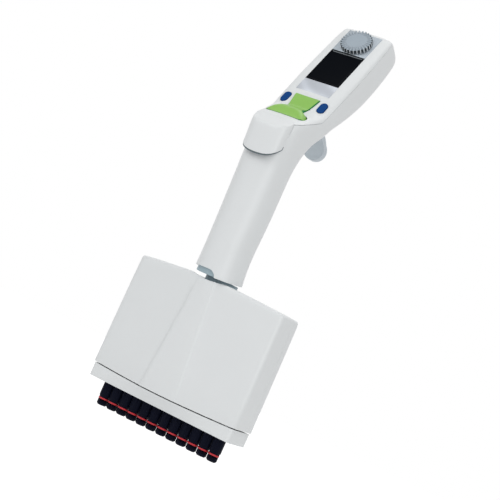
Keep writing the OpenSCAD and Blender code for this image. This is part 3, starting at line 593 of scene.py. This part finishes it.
def menuDial():  # flat disc, notched round its edge, with short flutes on top
    d = dialSet
    along = onFace(middleOf("menu_dial")).y
    sides = d["teeth"] * d["cuts"]
    bpy.ops.object.select_all(action="DESELECT")
    bpy.ops.mesh.primitive_cylinder_add(vertices=sides, radius=d["radius"], depth=d["height"],
                                        location=(0, 0, 0))
    dial = bpy.context.object
    dial.name = "menu_dial_knob"
    step = 2 * math.pi / sides

    def inNotch(v):
        return round(math.atan2(v.y, v.x) / step) % d["cuts"] in (0, 1)

    selectWhere(dial, "FACE", lambda f: f.normal.z > lookingUp)
    bpy.ops.mesh.inset(thickness=d["rim"])
    bpy.ops.mesh.inset(thickness=d["flute"])
    bpy.ops.mesh.inset(thickness=d["dish"])
    bpy.ops.transform.translate(value=(0, 0, -d["dishDepth"]))
    inner = d["radius"] - d["rim"] - d["flute"] * 0.5
    selectWhere(dial, "VERT", lambda v: inNotch(v.co) and v.co.xy.length > inner)
    bpy.ops.transform.resize(value=(d["notch"], d["notch"], 1), center_override=(0, 0, 0))
    inner *= d["notch"]
    nearTop = d["topShare"] * d["height"]
    selectWhere(dial, "VERT", lambda v: v.co.z > nearTop and inNotch(v.co) and v.co.xy.length > inner)
    bpy.ops.transform.translate(value=(0, 0, -d["fluteDepth"]))
    editing(False)
    # painted light: the outer faces of the teeth get a lighter silver as painted highlight, the notch walls a
    # dark grey and the flutes a darker silver as painted shade
    for name in dialCoats:
        dial.data.materials.append(materials[name])
    for face in dial.data.polygons:
        notched = [inNotch(dial.data.vertices[i].co) for i in face.vertices]
        if len(notched) > 4:  # the round middle and the foot keep the first coat
            continue
        if abs(face.normal.z) < d["wall"]:
            face.material_index = dialCoats.index("painted_gap_shade_and_glint" if any(notched) else "dial_rim_highlight")
        elif any(notched) and face.center.xy.length > inner:
            face.material_index = dialCoats.index("dial_flute_shade")
    seatOnFace(dial, 0, along, d["foot"] + d["height"] / 2)
    settle(dial, "menu_dial")
    roundEdges(dial, d["edge"], d["segments"], d["sharp"])
    smoothBelow(dial, d["smooth"])


menuDial()

screenSet = {"frame": 0.0012, "step": 0.00035, "edge": 0.0006, "round": 0.00012, "segments": 2, "sharp": 20,
             "smooth": 30, "slope": 0.2}


def displayWindow():  # black lens, its middle a step lower
    w = screenSet
    low, high = faceReach(nodes["display_window"].data.vertices)
    bpy.ops.object.select_all(action="DESELECT")
    bpy.ops.mesh.primitive_cube_add(size=1, location=(0, 0, 0))
    window = bpy.context.object
    window.name = "display_window_lens"
    bpy.ops.transform.resize(value=tuple(high - low))
    bpy.ops.object.transform_apply(location=False, rotation=False, scale=True)
    selectWhere(window, "FACE", lambda f: f.normal.z > lookingUp)
    bpy.ops.mesh.inset(thickness=w["frame"])
    bpy.ops.mesh.inset(thickness=w["edge"])
    bpy.ops.transform.translate(value=(0, 0, -w["step"]))
    editing(False)
    window.data.materials.append(materials["window_black"])
    window.data.materials.append(materials["painted_gap_shade_and_glint"])
    top = (high.y - low.y) / 2 - w["frame"] - w["edge"]
    for face in window.data.polygons:  # painted reflection: the sloped step at the upper end gets a lighter grey, a streak of reflected light on the black lens
        if face.normal.z > w["slope"] and top < face.center.y < top + w["edge"]:
            face.material_index = 1
    seatOnFace(window, *((low + high) / 2))
    settle(window, "display_window")
    roundEdges(window, w["round"], w["segments"], w["sharp"])
    smoothBelow(window, w["smooth"])


displayWindow()

# cuts: spacing of the net that carries the shape; flat, fall: start and length of the bump's slope;
# crown, arc: how top and crest curve across; tail: fall at the lower end; side: faces steeper than this are
# its side and get painted shade, a darker green
rockerSet = {"cutAcross": 0.0014, "cutAlong": 0.001, "foot": 0.0002, "top": 0.00845, "dish": 0.0007,
             "flat": 0.002, "fall": 0.0125, "crown": 2.0, "arc": 1.7e5, "tail": 18, "edge": 0.0005,
             "segments": 3, "sharp": 50, "side": 0.35, "smooth": 42}


def rockerHeight(x, s):  # thumb bump below with a curved crest, shallow dish above
    r = rockerSet
    bump = r["top"] - r["dish"]
    along = min(1, max(0, (s - r["flat"] + r["arc"] * x ** 4) / r["fall"]))
    rise = bump * 0.5 * (1 + math.cos(math.pi * along))
    return r["dish"] + rise - r["crown"] * x * x * (rise / bump) - max(0, -s) ** 2 * r["tail"]


def pipettingRocker():
    r = rockerSet
    rocker = skinCopy("pipetting_rocker")
    low, high = faceReach(rocker.data.vertices)
    across, along, out = (column.copy() for column in faceFrame.to_3x3().col)
    for step, way, side in ((r["cutAcross"], across, 0), (r["cutAlong"], along, 1)):
        place = low[side] + step
        while place < high[side] - step / 2:
            here = Vector((0, 0, 0))
            here[side] = place
            editing(True)
            bpy.ops.mesh.select_all(action="SELECT")
            bpy.ops.mesh.bisect(plane_co=faceFrame @ here, plane_no=way)
            editing(False)
            place += step
    for point in rocker.data.vertices:
        here = onFace(point.co)
        if here.z > r["foot"]:
            point.co += out * (rockerHeight(here.x, here.y) - here.z)
    roundEdges(rocker, r["edge"], r["segments"], r["sharp"])
    # painted shade: the steep side walls get the darker green
    rocker.data.materials.append(materials["rocker_side_shade"])
    for face in rocker.data.polygons:
        if face.normal @ out < r["side"]:
            face.material_index = 1
    smoothBelow(rocker, r["smooth"])


pipettingRocker()
print("stage: operating face dressed")

# low, high: ends of the fuller shank; step: length of the slope at each; outer: what lies inside it stays
# at this radius a shank cuts into its hole in the skirt, which has 4.08 mm: 4.0 mm would clear it
coneSet = {"low": 0.0064, "step": 0.0006, "high": 0.0190, "radius": 0.00435, "outer": 0.0037, "smooth": 30}


def fullCone(nodeName):  # the shank above the ring nearly fills the pitch
    c = coneSet
    cone = skinCopy(nodeName)
    middle = middleOf(nodeName)
    editing(True)
    for height in (c["low"], c["low"] + c["step"], c["high"] - c["step"], c["high"]):
        bpy.ops.mesh.select_all(action="SELECT")
        bpy.ops.mesh.bisect(plane_co=(0, 0, height), plane_no=(0, 0, 1))
    editing(False)
    for point in cone.data.vertices:
        away = Vector((point.co.x - middle.x, point.co.y - middle.y, 0))
        between = c["low"] + c["step"] / 2 < point.co.z < c["high"] - c["step"] / 2
        if between and away.length > c["outer"]:
            point.co += away.normalized() * (c["radius"] - away.length)
    smoothBelow(cone, c["smooth"])


for nodeName in nodes:
    if nodeName.startswith("tip_cone_"):
        fullCone(nodeName)
print("stage: cones dressed")
